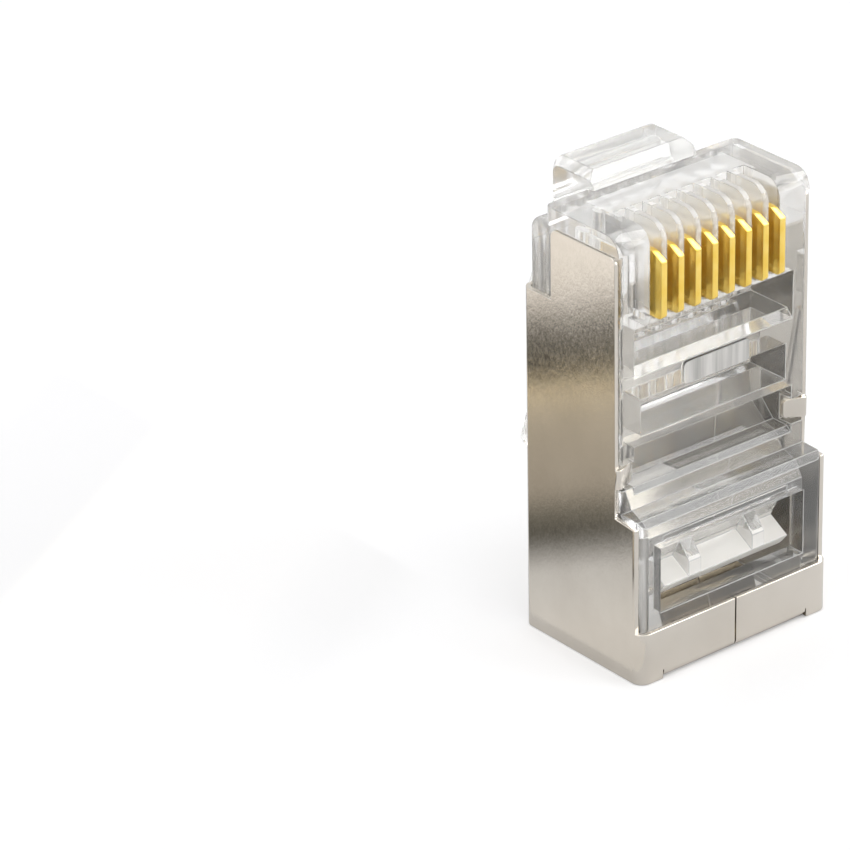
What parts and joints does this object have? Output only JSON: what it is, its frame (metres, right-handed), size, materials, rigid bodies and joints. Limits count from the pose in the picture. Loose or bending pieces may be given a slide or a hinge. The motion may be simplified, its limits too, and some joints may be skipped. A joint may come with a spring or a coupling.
{
  "type": "shielded modular plug",
  "caption": "Clear modular plug in a folded metal shield with a row of gold blade contacts, a wire funnel behind a shielded cable entry, and a sprung latch lever on the back.",
  "frame": {"origin": "centre of the cable entry, in the plane of the shield's rear rim", "axes": "+Z from the cable end to the nose, -Y the contact side, +Y the latch side, X the width"},
  "size_m": [0.0116, 0.0134, 0.0227],
  "materials": {
    "plating": "satin nickel plate",
    "clear_plastic": "clear polished moulding",
    "gold": "bright gold plate"
  },
  "bodies": {
    "plug": {"housing": "clear_plastic", "shield": "plating", "contact_1": "gold", "contact_2": "gold", "contact_3": "gold", "contact_4": "gold", "contact_5": "gold", "contact_6": "gold", "contact_7": "gold", "contact_8": "gold"},
    "latch": {"latch_lever": "clear_plastic"}
  },
  "joints": [
    {"name": "latch_press", "type": "hinge", "parent": "plug", "child": "latch", "pos_m": [0, 0.00507, 0.02], "axis": [-1, 0, 0], "range_deg": [0, 14], "stiffness_Nm_per_rad": 0.2}
  ]
}
